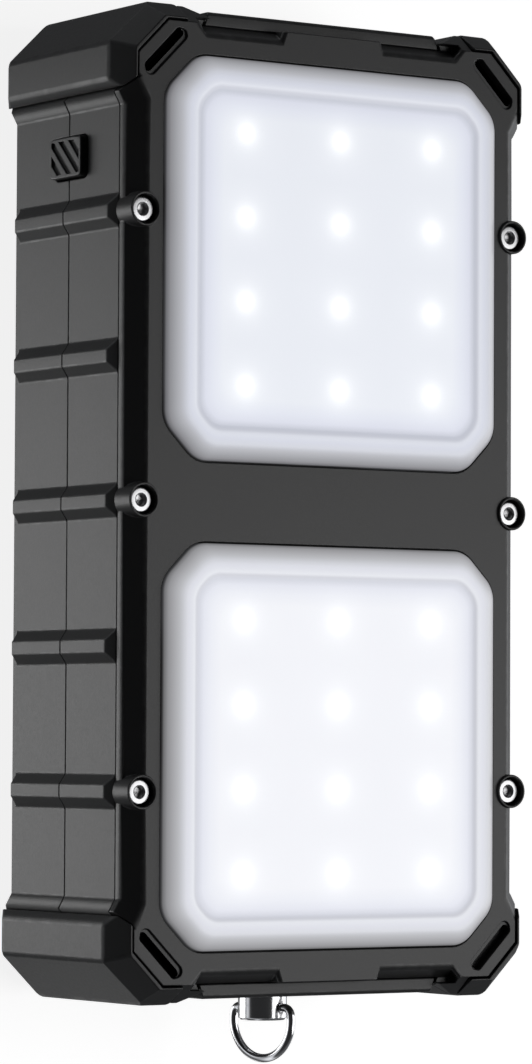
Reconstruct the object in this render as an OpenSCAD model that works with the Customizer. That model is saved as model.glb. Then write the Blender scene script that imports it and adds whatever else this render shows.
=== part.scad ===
// Solar phone charger with two lamps, lying on its back.
// X is the width, Y the length towards the socket end, Z the thickness.
// The origin is the middle of the flat back face, and all sizes are in millimetres.

/* [Case] */
// Width across the side flats of the case
case_w = 77.5; // [70:0.5:93]
// Length of the case without its end ribs
case_l = 154.6; // [129:0.2:186]
// Thickness from the back face to the bezel face
case_t = 39; // [36:0.5:47]
// Thickness of the front bezel
bezel_t = 4.2; // [3.9:0.1:5]
// Side wall of the two shells
wall = 2.2; // [1.8:0.1:2.6]
// Slanted edge all round the front and back faces
edge_bevel = 2.8; // [2:0.1:3.2]
// How far the end ribs stand out of the case ends
end_rib_out = 2.5; // [2:0.1:3]
// Half width of an end rib
end_rib_half = 23; // [22:0.5:24]

/* [Corner guards] */
// How far the guards stand proud of the side flats
guard_out = 2.45; // [1.8:0.05:3]
// Distance from the case end back to the start of the flare
guard_reach = 13.8; // [12:0.2:16]
// Slanted corner of the case under a guard
corner_cut = 5.6; // [4:0.2:7]
// Seam between a guard and the case
guard_seam = 0.3; // [0.2:0.05:0.5]

/* [Side ribs and screws] */
// Distance between neighbouring screws
screw_pitch = 46.5; // [42:0.5:48]
// How far a side rib stands out
rib_out = 1.18; // [0.8:0.02:1.6]
// Width of a side rib at its foot
rib_foot = 5.5; // [4:0.1:7]
// Width of a side rib at its ridge
rib_ridge = 2.1; // [1.5:0.1:3]
// Outer diameter of a screw boss
boss_d = 5.6; // [5.2:0.1:6]
// Diameter of a screw head
head_d = 4.1; // [3.8:0.1:4.4]
// Diameter of the screw thread
screw_d = 2; // [1.8:0.1:2.2]

/* [Lamps] */
// Bezel rail beside a lens
lens_rail = 6; // [5.6:0.1:8]
// Bezel bridge between the two lenses
lens_bridge = 13.2; // [11:0.2:18]
// Bezel left beyond a lens at the case end
lens_end = 5.3; // [5:0.1:8]
// How far a lens stands above the bezel
lens_proud = 2.4; // [1.8:0.1:3]
// Slanted corner of a lens
lens_cut = 6; // [4:0.5:8]
// Wall of a lens
lens_wall = 1.5; // [1.2:0.1:2]
// Distance between lamp chips across the width
led_pitch_x = 18.46; // [14:0.01:19]
// Distance between lamp chips along the length
led_pitch_y = 13.62; // [11:0.01:14]

/* [Button and sockets] */
// Size of the button across the thickness of the case
button_h = 9.6; // [8:0.2:11]
// Size of the button along the case
button_l = 6.6; // [5.6:0.1:7.2]
// How far the button stands proud
button_proud = 1.25; // [0.8:0.05:1.8]
// How far the button can be pressed
button_travel = 0.6; // [0.4:0.1:0.8]
// Distance from the case end back to the middle of the button
button_back = 21; // [19:0.5:23]
// Length of the main circuit board
board_l = 39.5; // [38:0.5:46]
// Distance between neighbouring sockets
socket_pitch = 14.2; // [13.2:0.1:14.6]

/* [Post and ring] */
// Diameter of the hanging post
post_d = 8.1; // [7:0.1:9]
// How far the post stands out of the end rib
post_out = 4.7; // [4.4:0.1:6]
// Wire of the hanging ring
wire_d = 1.4; // [1.2:0.1:1.6]
// Radius of the ring along the middle of its wire
ring_r = 6.3; // [5.8:0.1:7.5]
// Turn of the ring away from the thickness direction
ring_turn = 15; // [0:5:60]

/* [Hidden] */
$fn = 48;
tiny = 0.01;
gap = 0.2;
running = 0.05;

// Outline of the case
hw = case_w / 2;
hl = case_l / 2;
flare_y0 = hl - guard_reach;
flare_y1 = flare_y0 + 2;
flare_x = hw + 1.15;
edge_x = hw - 0.95;
edge_y = flare_y1 + flare_x - edge_x;
end_y = hl + end_rib_out;
end_wall = 1.7;
end_in = hl - end_wall;

// Levels from the back face upwards
seam_z = case_t / 2;
bezel_z = case_t - bezel_t;
rib_top = case_t - 3;
rib_gap = 0.1;
rib_back = edge_bevel + 0.1;
panel_t = 2.6;
floor_t = 2;
floor_z = panel_t + floor_t;
deck_t = 1.2;
lamp_depth = 5.6;
deck_top = bezel_z - lamp_depth;
deck_z = deck_top - deck_t;

// Corner guards
guard_x = hw + guard_out;
guard_y = end_y + 0.8;
guard_cut = 7.2;
guard_bevel = 2.7;
guard_bevel_z = 4;
guard_proud = 0.2;
guard_tip = edge_x - corner_cut - 3.6;
tongue_z = [9, case_t - 11];
tongue_t = 2;
tongue_in = 0.8;

// Screws, bosses and inserts
screw_x = hw - 2.15;
screw_y = [-screw_pitch, 0, screw_pitch];
boss_proud = 0.5;
head_sink = 1;
head_h = 1.9;
head_z = case_t + boss_proud - head_sink - head_h;
hex_af = 1.75;
hole_r = screw_d / 2 + 0.15;
insert_r = 1.6;
insert_l = 5;

// Lamps
lens_hx = hw - lens_rail;
lens_hy = (hl - lens_end - lens_bridge / 2) / 2;
lens_y = lens_bridge / 2 + lens_hy;
lens_soft = 5;
lens_slope = 2.7;
lens_ledge = 1.9;
lens_step = 0.9;
lens_dip = 0.3;
flange_out = 0.8;
flange_t = 1;
gasket_t = 0.3;
flange_z = deck_top + lamp_depth + 1.2;
led_t = 1.2;
chip = [3.5, 2.8, 0.8];
reflector_wall = 1.2;

// Board, button and sockets
button_y = hl - button_back;
button_z = seam_z + 0.6;
switch_h = 3.8;
board_t = 1.2;
board_top = button_z - switch_h / 2;
board_z = board_top - board_t;
board_x = hw - 5.35;
board_y1 = end_in - 0.4;
board_y0 = board_y1 - board_l;
board_cut = corner_cut + 0.5;
standoff = [[board_x - 5, board_y0 + 4], [board_x - 8, board_y1 - 5]];
usb_a = [13.1, 14, 5.7];
usb_c = [8.94, 7.35, 3.26];
mouth_y = hl - 0.3;
lights = [-10, -5, 0, 5, 10];
light_r = 1;

// Socket cover and its hinge
cover_t = 1.9;
cover_hx = end_rib_half - 2.4;
recess_y = end_y - cover_t - 0.1;
hinge_r = 1.3;
hinge_y = end_y - 1.4;
hinge_z = 11.2;
pin_r = 0.6;
cover_top = case_t - 9;

// Solar panel
panel_hx = hw - 5.6;
panel_hy = flare_y0 - 2;
cover_sheet = 1;
cell_sheet = 0.3;
strips = 10;

// Battery
cell_hx = board_x - 0.9;
cell_y1 = board_y0 - 4.5;
cell_y0 = -(hl - 8.3);
pad_t = 0.4;
cell_h = (deck_z - floor_z - 3 * pad_t) / 2;

// Post and ring
neck_r = 2.5;
sleeve_r = neck_r + 1.25;
post_y0 = end_y + 0.2;
post_y1 = end_y + post_out;
eye_y = end_y + 2.6;
ring_drop = 2.2;
bend_r = 1.4;
bend_x = sqrt(pow(ring_r - bend_r, 2) - pow(ring_drop - bend_r, 2));
bend_a = atan2(ring_drop - bend_r, bend_x);

function flip(q) = [for (i = [len(q) - 1 : -1 : 0]) q[i]];

// A full outline from its quarter, which runs from the X axis round to the Y axis
function round4(q) = concat(
    q,
    [for (p = flip(q)) [-p[0], p[1]]],
    [for (p = q) [-p[0], -p[1]]],
    [for (p = flip(q)) [p[0], -p[1]]]
);

// Rectangle with slanted corners, and an arc at each end of each slant
function soft_quarter(hx, hy, cut, r, n = 4) = let (t = r * tan(22.5)) concat(
    [for (i = [0 : n]) [hx - r + r * cos(45 * i / n), hy - cut - t + r * sin(45 * i / n)]],
    [for (i = [0 : n]) [hx - cut - t + r * cos(45 + 45 * i / n), hy - r + r * sin(45 + 45 * i / n)]]
);

// Rectangle with a quarter circle at each corner
function soft_box(hx, hy, r, n = 6) = round4(
    [for (i = [0 : n]) [hx - r + r * cos(90 * i / n), hy - r + r * sin(90 * i / n)]]
);

case_quarter = [
    [hw, flare_y0], [flare_x, flare_y1], [edge_x, edge_y],
    [edge_x, hl - corner_cut], [edge_x - corner_cut, hl]
];
hollow_quarter = [
    [hw - wall, flare_y0], [edge_x - wall, edge_y],
    [edge_x - wall, hl - corner_cut - 0.4 * wall],
    [edge_x - corner_cut - wall - end_wall / 2, end_in]
];

module corners() {
    for (sx = [0, 1], sy = [0, 1]) mirror([sx, 0, 0]) mirror([0, sy, 0]) children();
}

module both_ends() {
    for (sy = [0, 1]) mirror([0, sy, 0]) children();
}

module at_screws() {
    for (sx = [-1, 1], y = screw_y) translate([sx * screw_x, y, 0]) children();
}

// A slab of the children's outline between two heights
module slab(z0, z1) {
    translate([0, 0, z0]) linear_extrude(z1 - z0) children();
}

// A bar of the children's outline, drawn as length against height, between two widths
module bar_x(x0, x1) {
    translate([x0, 0, 0]) rotate([90, 0, 90]) linear_extrude(x1 - x0) children();
}

module block(x, y, z) {
    translate([x[0], y[0], z[0]]) cube([x[1] - x[0], y[1] - y[0], z[1] - z[0]]);
}

// Small shoulders beside each end rib, which the guard tips butt against
module shoulder_plan() {
    corners() polygon([
        [end_rib_half - 1, hl - 1], [end_rib_half + 0.4, hl + 1.2],
        [guard_tip - 1.4, guard_y - 0.3], [guard_tip - guard_seam, guard_y - 0.3],
        [guard_tip - guard_seam, hl - 1]
    ]);
}

module case_plan() {
    polygon(round4(case_quarter));
    shoulder_plan();
}

// Slanted border that closes the case at its face, from its lower edge up to case_t
module face_border() {
    rotate([90, 0, 0]) translate([0, 0, -flare_y0 - 1]) linear_extrude(2 * flare_y0 + 2) polygon([
        [-hw, bezel_z], [hw, bezel_z], [hw, case_t - edge_bevel], [hw - edge_bevel, case_t],
        [edge_bevel - hw, case_t], [-hw, case_t - edge_bevel]
    ]);
    both_ends() hull() {
        slab(bezel_z, case_t - edge_bevel) polygon([
            [hw, flare_y0], [flare_x, flare_y1], [edge_x, edge_y],
            [-edge_x, edge_y], [-flare_x, flare_y1], [-hw, flare_y0]
        ]);
        slab(case_t - tiny, case_t) polygon([
            [hw - edge_bevel, flare_y0 + 0.75], [edge_x, edge_y],
            [-edge_x, edge_y], [edge_bevel - hw, flare_y0 + 0.75]
        ]);
    }
    both_ends() slab(bezel_z, case_t) polygon([
        [edge_x, edge_y - tiny], [edge_x, hl - corner_cut], [edge_x - corner_cut, hl],
        [corner_cut - edge_x, hl], [-edge_x, hl - corner_cut], [-edge_x, edge_y - tiny]
    ]);
    intersection() {
        slab(bezel_z, case_t) shoulder_plan();
        bar_x(-hw, hw) polygon([
            [-hl, case_t], [-guard_y, case_t - guard_bevel_z], [-guard_y, bezel_z],
            [guard_y, bezel_z], [guard_y, case_t - guard_bevel_z], [hl, case_t]
        ]);
    }
}

// Two sloped pockets in each end edge, either side of a plain tab
module end_pockets() {
    corners() intersection() {
        slab(bezel_z, case_t + 1) polygon([
            [10.4, hl - 1.7], [end_rib_half + 1.6, hl - 1.7],
            [end_rib_half + 3.3, hl + 0.1], [end_rib_half + 3.3, hl + 1], [9.4, hl + 1]
        ]);
        bar_x(0, hw) polygon([
            [hl - 1.7, case_t + tiny], [hl, rib_top], [hl + 1, rib_top], [hl + 1, case_t + tiny]
        ]);
    }
}

// A round-ended slot beside each slanted corner, with a shallow ledge along its inner side
module corner_slots() {
    mid = [edge_x - corner_cut / 2 - 2, hl - corner_cut / 2 - 2];
    corners() translate([mid[0], mid[1], 0]) rotate([0, 0, -45]) {
        slot_cut(4.1, 0.75, 1.9);
        translate([0, -0.55, 0]) slot_cut(4.1, 1.05, 0.45);
    }
}

module slot_cut(half, r, depth) {
    for (s = [-1, 1]) translate([s * half, 0, case_t - depth]) cylinder(h = depth + 1, r = r);
    block([-half, half], [-r, r], [case_t - depth, case_t + 1]);
}

module lens_plan(grow, soft = lens_soft) {
    polygon(round4(soft_quarter(lens_hx + grow, lens_hy + grow, lens_cut + 0.6 * grow, soft + grow)));
}

module each_lamp() {
    for (s = [-1, 1]) translate([0, s * lens_y, 0]) children();
}

module front_bezel() {
    color([0.12, 0.12, 0.125]) difference() {
        union() {
            face_border();
            at_screws() translate([0, 0, bezel_z]) cylinder(h = bezel_t + boss_proud, d = boss_d);
        }
        each_lamp() slab(bezel_z - 1, case_t + 1) lens_plan(gap);
        each_lamp() slab(bezel_z - 1, flange_z + flange_t + gasket_t) lens_plan(flange_out + gap);
        end_pockets();
        corner_slots();
        both_ends() slab(bezel_z - 1, rib_top + rib_gap) end_rib_plan(hl, rib_gap);
        at_screws() {
            translate([0, 0, bezel_z - 1]) cylinder(h = bezel_t, r = hole_r);
            translate([0, 0, head_z]) cylinder(h = bezel_t, d = head_d + 0.65);
        }
    }
}

// Five ribs on each side, with ends that slope down to the bezel and the back edge
module side_ribs(z0, z1) {
    intersection() {
        slab(z0, z1) for (sx = [0, 1], i = [-2 : 2])
            mirror([sx, 0, 0]) translate([0, i * screw_pitch / 2]) polygon([
                [hw - 1, -rib_foot / 2], [hw, -rib_foot / 2], [hw + rib_out, -rib_ridge / 2],
                [hw + rib_out, rib_ridge / 2], [hw, rib_foot / 2], [hw - 1, rib_foot / 2]
            ]);
        rotate([90, 0, 0]) translate([0, 0, -hl]) linear_extrude(case_l) polygon([
            [-hw, rib_back], [hw, rib_back], [hw + rib_out, rib_back + 0.6],
            [hw + rib_out, bezel_z - 1.8], [hw, bezel_z],
            [-hw, bezel_z], [-hw - rib_out, bezel_z - 1.8], [-hw - rib_out, rib_back + 0.6]
        ]);
    }
}

// Outline of an end rib, whose ends slope in towards its outer face
module end_rib_plan(inner, grow) {
    polygon([
        [-end_rib_half - 0.8 - grow, inner], [end_rib_half + 0.8 + grow, inner],
        [end_rib_half - 0.4 + grow, end_y], [0.4 - end_rib_half - grow, end_y]
    ]);
}

// Rib along each end wall, between two heights, with a small slant on its long edges
module end_ribs(z0, z1) {
    both_ends() intersection() {
        slab(z0, z1) end_rib_plan(hl - 1, 0);
        bar_x(-hw, hw) polygon([
            [hl - 1, 3], [end_y - 0.5, 3], [end_y, 3.5],
            [end_y, rib_top - 0.5], [end_y - 0.5, rib_top], [hl - 1, rib_top]
        ]);
    }
}

module screw_columns(z0, z1) {
    slab(z0, z1) intersection() {
        at_screws() circle(d = boss_d);
        polygon(round4(case_quarter));
    }
}

module stadium(l, h, y0, y1) {
    for (s = [-1, 1]) translate([s * (l - h) / 2, y1, 0]) rotate([90, 0, 0]) cylinder(h = y1 - y0, d = h);
    block([(h - l) / 2, (l - h) / 2], [y0, y1], [-h / 2, h / 2]);
}

// Everything cut through both shells: sockets, cover recess, hinge, button and post
module shell_cuts() {
    block([-cover_hx - gap, cover_hx + gap], [recess_y, end_y + 1], [hinge_z, cover_top + gap]);
    block([-cover_hx - gap, cover_hx + gap], [hinge_y, end_y + 1],
        [hinge_z - hinge_r - gap, hinge_z + 1]);
    translate([-cover_hx - gap, hinge_y, hinge_z]) rotate([0, 90, 0])
        cylinder(h = 2 * (cover_hx + gap), r = hinge_r + gap);
    translate([1 - end_rib_half, hinge_y, hinge_z]) rotate([0, 90, 0])
        cylinder(h = 2 * end_rib_half - 2, r = pin_r + 0.02);
    translate([0, end_y + 2.2, cover_top + 1]) sphere(r = 4);
    block([-usb_a[0] / 2 - gap, usb_a[0] / 2 + gap], [end_in - 1, recess_y + 1],
        [board_top - gap, board_top + usb_a[2] + gap]);
    for (s = [-1, 1]) translate([s * socket_pitch, 0, board_top + usb_c[2] / 2])
        stadium(usb_c[0] + 2 * gap, usb_c[2] + 2 * gap, end_in - 1, recess_y + 1);
    translate([-hw - 2, button_y, button_z]) rotate([90, 0, 90]) linear_extrude(wall + 3)
        polygon(soft_box(button_l / 2 + gap, button_h / 2 + gap, 0.9 + gap));
    translate([0, -end_in + 1, seam_z]) rotate([90, 0, 0])
        cylinder(h = end_wall + end_rib_out + 2, r = sleeve_r + 0.02);
}

// Grooves under each guard for its two tongues
module tongue_grooves() {
    for (z = tongue_z) slab(z - 0.1, z + tongue_t + 0.1) corners() polygon([
        [edge_x - tongue_in - 0.1, edge_y + 0.4], [edge_x + 1, edge_y + 0.4],
        [edge_x + 1, hl - corner_cut - 0.4], [edge_x - tongue_in - 0.1, hl - corner_cut - 0.4]
    ]);
}

module front_shell() {
    color([0.2, 0.2, 0.205]) difference() {
        union() {
            difference() {
                union() {
                    slab(seam_z, bezel_z) case_plan();
                    side_ribs(seam_z, bezel_z);
                    end_ribs(seam_z, rib_top);
                }
                slab(seam_z - 1, deck_z) polygon(round4(hollow_quarter));
                slab(deck_top, bezel_z + 1) polygon(round4(hollow_quarter));
            }
            screw_columns(seam_z, bezel_z);
        }
        shell_cuts();
        tongue_grooves();
        block([-hw, hw], [-hl - rib_gap, hl + rib_gap], [bezel_z, case_t]);
        at_screws() translate([0, 0, seam_z - 1]) cylinder(h = case_t, r = hole_r);
        for (s = [-1, 1]) translate([s * 3, board_y0 + 2.5, deck_z - 1]) cylinder(h = 4, r = 1);
    }
}

module back_shell() {
    color([0.2, 0.2, 0.205]) difference() {
        union() {
            difference() {
                union() {
                    translate([0, 0, case_t]) mirror([0, 0, 1]) face_border();
                    slab(bezel_t - tiny, seam_z) case_plan();
                    side_ribs(bezel_t, seam_z);
                    end_ribs(3, seam_z);
                }
                slab(floor_z, seam_z + 1) polygon(round4(hollow_quarter));
            }
            screw_columns(floor_z - 1, seam_z);
            for (p = standoff, s = [-1, 1]) translate([s * p[0], p[1], floor_z - 1])
                cylinder(h = board_z - floor_z + 1, r = 2.6);
        }
        shell_cuts();
        tongue_grooves();
        translate([0, 0, case_t]) mirror([0, 0, 1]) {
            end_pockets();
            corner_slots();
        }
        slab(-1, panel_t) polygon(soft_box(panel_hx + gap, panel_hy + gap, 3 + gap));
        at_screws() translate([0, 0, seam_z - insert_l]) cylinder(h = insert_l + 1, r = insert_r + 0.02);
        at_screws() translate([0, 0, seam_z - insert_l - 2]) cylinder(h = 3, r = hole_r);
        for (p = standoff, s = [-1, 1]) translate([s * p[0], p[1], board_z - 8])
            cylinder(h = 9, r = 0.8);
        for (x = lights) translate([x, flare_y0 + 4, -1]) cylinder(h = floor_z + 2, r = light_r + 0.1);
        for (s = [-1, 1]) translate([s * 4, board_y0 + 8, 0]) cylinder(h = floor_z + 1, r = 1);
    }
}

// One moulded rubber corner, from the back face to just above the bezel
module corner_guard() {
    lip = edge_x + guard_seam;
    diag = guard_seam * (sqrt(2) - 1);
    color([0.17, 0.17, 0.175]) {
        difference() {
            intersection() {
                hull() {
                    slab(0, tiny) polygon([
                        [0, hl - 30], [guard_x - guard_bevel, hl - 30],
                        [guard_x - guard_bevel, guard_y - guard_cut - 0.4 * guard_bevel],
                        [guard_x - guard_cut - 0.4 * guard_bevel, guard_y - guard_bevel],
                        [0, guard_y - guard_bevel]
                    ]);
                    slab(guard_bevel_z, case_t - guard_bevel_z) polygon([
                        [0, hl - 30], [guard_x, hl - 30], [guard_x, guard_y - guard_cut],
                        [guard_x - guard_cut, guard_y], [0, guard_y]
                    ]);
                    slab(case_t + guard_proud - tiny, case_t + guard_proud) polygon([
                        [0, hl - 30], [guard_x - guard_bevel, hl - 30],
                        [guard_x - guard_bevel, guard_y - guard_cut - 0.4 * guard_bevel],
                        [guard_x - guard_cut - 0.4 * guard_bevel, guard_y - guard_bevel],
                        [0, guard_y - guard_bevel]
                    ]);
                }
                slab(-1, case_t + 1) polygon([
                    [guard_tip, guard_y + 1], [guard_tip, hl - 3], [edge_x - 3, flare_y1],
                    [flare_x + 0.05, flare_y1 + guard_seam],
                    [guard_x, flare_y1 + guard_seam + (guard_x - flare_x) * 1.2],
                    [guard_x + 1, flare_y1 + guard_seam + (guard_x - flare_x + 1) * 1.2],
                    [guard_x + 1, guard_y + 1]
                ]);
            }
            slab(-2, case_t + 2) polygon([
                [0, hl - 40], [flare_x + 4, hl - 40], [flare_x + 4, flare_y1 - 4 + guard_seam * sqrt(2)],
                [lip, edge_y + diag], [lip, hl - corner_cut + diag],
                [edge_x - corner_cut + diag, hl + guard_seam], [0, hl + guard_seam]
            ]);
        }
        for (z = tongue_z) slab(z, z + tongue_t) polygon([
            [edge_x - tongue_in, edge_y + 0.5], [lip + 0.3, edge_y + 0.5],
            [lip + 0.3, hl - corner_cut - 0.5], [edge_x - tongue_in, hl - corner_cut - 0.5]
        ]);
    }
}

module corner_guard_at(i) {
    mirror([i % 2, 0, 0]) mirror([0, floor(i / 2), 0]) corner_guard();
}

// Milky cover of a lamp: sloped wall, flat ledge and a slightly sunken panel
module lamp_lens(side) {
    top = case_t + lens_proud;
    panel = lens_slope + lens_ledge;
    color([0.93, 0.93, 0.96]) translate([0, side * lens_y, 0]) difference() {
        union() {
            slab(flange_z, flange_z + flange_t) lens_plan(flange_out);
            slab(flange_z, case_t) lens_plan(0);
            hull() {
                slab(case_t - tiny, case_t + 0.4) lens_plan(0);
                slab(top - 0.9, top - 0.8) lens_plan(-lens_slope * 0.4);
                slab(top - tiny, top) lens_plan(-lens_slope);
            }
        }
        hull() {
            slab(top - lens_dip, top - lens_dip + tiny) lens_plan(-panel - lens_step);
            slab(top, top + tiny) lens_plan(-panel);
        }
        hull() {
            slab(flange_z - tiny, case_t - 0.4) lens_plan(-lens_wall);
            slab(top - lens_dip - lens_wall - tiny, top - lens_dip - lens_wall)
                lens_plan(-lens_slope - 0.6);
        }
    }
}

module lens_gaskets() {
    color([0.1, 0.1, 0.1]) each_lamp() slab(flange_z + flange_t, flange_z + flange_t + gasket_t)
        difference() {
            lens_plan(flange_out);
            lens_plan(0.05);
        }
}

// White tray round the lamp chips, with a window for each chip
module reflector(side) {
    z0 = deck_top + led_t;
    color("white") translate([0, side * lens_y, 0]) difference() {
        slab(z0, flange_z) lens_plan(flange_out - 0.1);
        slab(z0 + 0.6, flange_z + 1) lens_plan(flange_out - 0.1 - reflector_wall);
        at_chips() translate([0, 0, z0 - 1]) cylinder(h = 3, r = 2.6);
    }
}

module at_chips() {
    for (i = [-1 : 1], j = [-1.5 : 1.5]) translate([i * led_pitch_x, j * led_pitch_y, 0]) children();
}

module led_board(side) {
    color([0.85, 0.87, 0.85]) translate([0, side * lens_y, 0])
        slab(deck_top, deck_top + led_t) lens_plan(flange_out - 0.3);
}

module led_chips(side) {
    color([0.95, 0.85, 0.4]) translate([0, side * lens_y, deck_top + led_t]) at_chips()
        translate([-chip[0] / 2, -chip[1] / 2, 0]) cube(chip);
}

// Flat ribbon that joins the two lamp boards
module lamp_flex() {
    reach = lens_bridge / 2 - flange_out + 0.3;
    color([0.8, 0.5, 0.15]) block([-4, 4], [-reach, reach], [deck_top + 0.3, deck_top + 0.6]);
}

module lamp_leads() {
    color("crimson") for (s = [-1, 1]) translate([s * 3, board_y0 + 2.5, board_top])
        cylinder(h = deck_top - board_top, r = 0.6);
}

module case_screws() {
    color([0.8, 0.8, 0.82]) at_screws() difference() {
        union() {
            translate([0, 0, head_z]) cylinder(h = head_h - 0.25, d = head_d);
            translate([0, 0, head_z + head_h - 0.25]) cylinder(h = 0.25, d = head_d - 0.3);
            translate([0, 0, seam_z - insert_l]) cylinder(h = head_z - seam_z + insert_l, d = screw_d);
        }
        translate([0, 0, head_z + head_h - 1.1])
            cylinder(h = 2, d = hex_af / cos(30), $fn = 6);
    }
}

module threaded_inserts() {
    color([0.8, 0.65, 0.3]) at_screws() translate([0, 0, seam_z - insert_l]) difference() {
        union() {
            cylinder(h = 2, r = insert_r);
            cylinder(h = insert_l, r = insert_r - 0.25);
            translate([0, 0, insert_l - 2]) cylinder(h = 2, r = insert_r);
        }
        translate([0, 0, -1]) cylinder(h = insert_l + 2, r = screw_d / 2 + 0.03);
    }
}

// Button cap with slanted grooves, an inner flange that keeps it in, and a stem
module power_button() {
    flange_x = -hw + wall;
    color([0.22, 0.22, 0.225]) difference() {
        union() {
            translate([-hw - button_proud, button_y, button_z]) rotate([90, 0, 90])
                linear_extrude(button_proud + wall + 0.5) polygon(soft_box(button_l / 2, button_h / 2, 0.9));
            block([flange_x + running, flange_x + 0.85], [button_y - button_l / 2 - 1, button_y + button_l / 2 + 1],
                [button_z - button_h / 2 - 1, button_z + button_h / 2 + 1]);
            block([flange_x + 0.5, -board_x - 0.5 - button_travel - 0.1], [button_y - 1.2, button_y + 1.2],
                [button_z - 1.2, button_z + 1.2]);
        }
        intersection() {
            for (i = [-1.5 : 1.5]) translate([-hw - button_proud, button_y, button_z]) rotate([45, 0, 0])
                translate([-1, i * 2.1 - 0.55, -20]) cube([1.5, 1.1, 40]);
            block([-hw - 5, -hw], [button_y - button_l / 2 + 0.6, button_y + button_l / 2 - 0.6],
                [button_z - button_h / 2 + 0.6, button_z + button_h / 2 - 0.6]);
        }
    }
}

module button_switch() {
    x = -board_x + 0.2;
    color([0.15, 0.15, 0.15]) {
        block([x, x + 3.6], [button_y - 3, button_y + 3], [board_top, board_top + switch_h]);
        translate([x - 0.7, button_y, button_z]) rotate([0, 90, 0]) cylinder(h = 1, r = 1);
    }
}

module main_board() {
    color([0.05, 0.3, 0.12]) difference() {
        slab(board_z, board_top) polygon([
            [-board_x, board_y0], [board_x, board_y0], [board_x, board_y1 - board_cut],
            [board_x - board_cut, board_y1], [board_cut - board_x, board_y1],
            [-board_x, board_y1 - board_cut]
        ]);
        for (p = standoff, s = [-1, 1]) translate([s * p[0], p[1], board_z - 1]) cylinder(h = 4, r = 1.1);
    }
}

module board_screws() {
    color([0.75, 0.75, 0.77]) for (p = standoff, s = [-1, 1]) translate([s * p[0], p[1], board_top])
        difference() {
            union() {
                cylinder(h = 1.3, r = 1.9);
                translate([0, 0, -board_t - 6]) cylinder(h = board_t + 6.5, r = 0.78);
            }
            for (a = [0, 90]) rotate([0, 0, a]) translate([-1.1, -0.2, 0.6]) cube([2.2, 0.4, 1]);
        }
}

// Coil, control chips and capacitors on top of the main board
module board_chips() {
    y = board_y0 + 10;
    color([0.16, 0.16, 0.17]) {
        block([-7, 0], [y, y + 7], [board_top, board_top + 3.2]);
        block([6, 12], [y + 1, y + 7], [board_top, board_top + 1]);
        block([-16, -11], [y + 1, y + 6], [board_top, board_top + 1]);
        for (x = [17, 21.5]) translate([x, y + 3, board_top]) cylinder(h = 5.4, r = 1.9);
    }
}

module usb_a_socket() {
    hx = usb_a[0] / 2;
    color([0.75, 0.76, 0.78]) translate([0, mouth_y, board_top]) {
        difference() {
            block([-hx, hx], [-usb_a[1], 0], [0, usb_a[2]]);
            block([0.3 - hx, hx - 0.3], [1 - usb_a[1], 1], [0.3, usb_a[2] - 0.3]);
        }
        block([-5.5, 5.5], [0.5 - usb_a[1], -1.8], [2.9, 4.7]);
    }
}

module usb_c_socket(side) {
    color([0.75, 0.76, 0.78]) translate([side * socket_pitch, 0, board_top + usb_c[2] / 2]) {
        difference() {
            stadium(usb_c[0], usb_c[2], mouth_y - usb_c[1], mouth_y);
            stadium(usb_c[0] - 0.6, usb_c[2] - 0.7, mouth_y - usb_c[1] + 0.8, mouth_y + 1);
        }
        block([-3.35, 3.35], [mouth_y - usb_c[1] + 0.5, mouth_y - 0.9], [-0.35, 0.35]);
    }
}

// Clear bar with a light pipe down to the back face for each indicator
module light_guide() {
    y = flare_y0 + 4;
    color([0.85, 0.9, 0.95, 0.6]) {
        block([lights[0] - 1.5, lights[4] + 1.5], [y - 1.5, y + 1.5], [floor_z, floor_z + 2]);
        for (x = lights) translate([x, y, 0.15]) cylinder(h = board_z - 1.3, r = light_r);
    }
}

module indicator_leds() {
    color([0.95, 0.95, 0.9]) for (x = lights)
        block([x - 0.8, x + 0.8], [flare_y0 + 3.6, flare_y0 + 4.4], [board_z - 0.8, board_z]);
}

module battery_cell(level) {
    z = floor_z + pad_t + level * (cell_h + pad_t);
    color([0.72, 0.74, 0.78]) {
        block([-cell_hx, cell_hx], [cell_y0, cell_y1 - 3], [z, z + cell_h]);
        block([-cell_hx + 1, cell_hx - 1], [cell_y1 - 3 - tiny, cell_y1], [z + cell_h - 2, z + cell_h - 0.4]);
    }
}

module cell_pads() {
    color([0.3, 0.3, 0.3]) for (i = [0 : 2])
        block([-cell_hx + 6, cell_hx - 6], [cell_y0 + 6, cell_y1 - 9],
            [floor_z + i * (cell_h + pad_t), floor_z + i * (cell_h + pad_t) + pad_t]);
}

// Nickel strips from the sealed edge of each cell to the board
module battery_tabs() {
    z_low = floor_z + pad_t + cell_h - 1.4;
    z_high = z_low + cell_h + pad_t;
    y_in = board_y0 + 1.2;
    color([0.8, 0.8, 0.78]) for (s = [-1, 1]) {
        block([s * 12 - 2.5, s * 12 + 2.5], [cell_y1, y_in], [z_low, z_low + 0.3]);
        block([s * 12 - 2.5, s * 12 + 2.5], [y_in - 0.3, y_in], [z_low, board_z]);
        block([s * 22 - 2.5, s * 22 + 2.5], [cell_y1, y_in], [z_high, z_high + 0.3]);
        block([s * 22 - 2.5, s * 22 + 2.5], [y_in - 0.3, y_in], [board_top, z_high + 0.3]);
    }
}

module solar_cover() {
    color([0.2, 0.25, 0.4, 0.5]) slab(0, cover_sheet) polygon(soft_box(panel_hx, panel_hy, 3));
}

// Ten cell strips in series across the panel
module solar_cells() {
    rim = 3;
    pitch = 2 * (panel_hy - rim) / strips;
    color([0.08, 0.1, 0.2]) for (i = [0 : strips - 1])
        block([rim - panel_hx, panel_hx - rim],
            [rim - panel_hy + i * pitch + 0.35, rim - panel_hy + (i + 1) * pitch - 0.35],
            [cover_sheet, cover_sheet + cell_sheet]);
}

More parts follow.
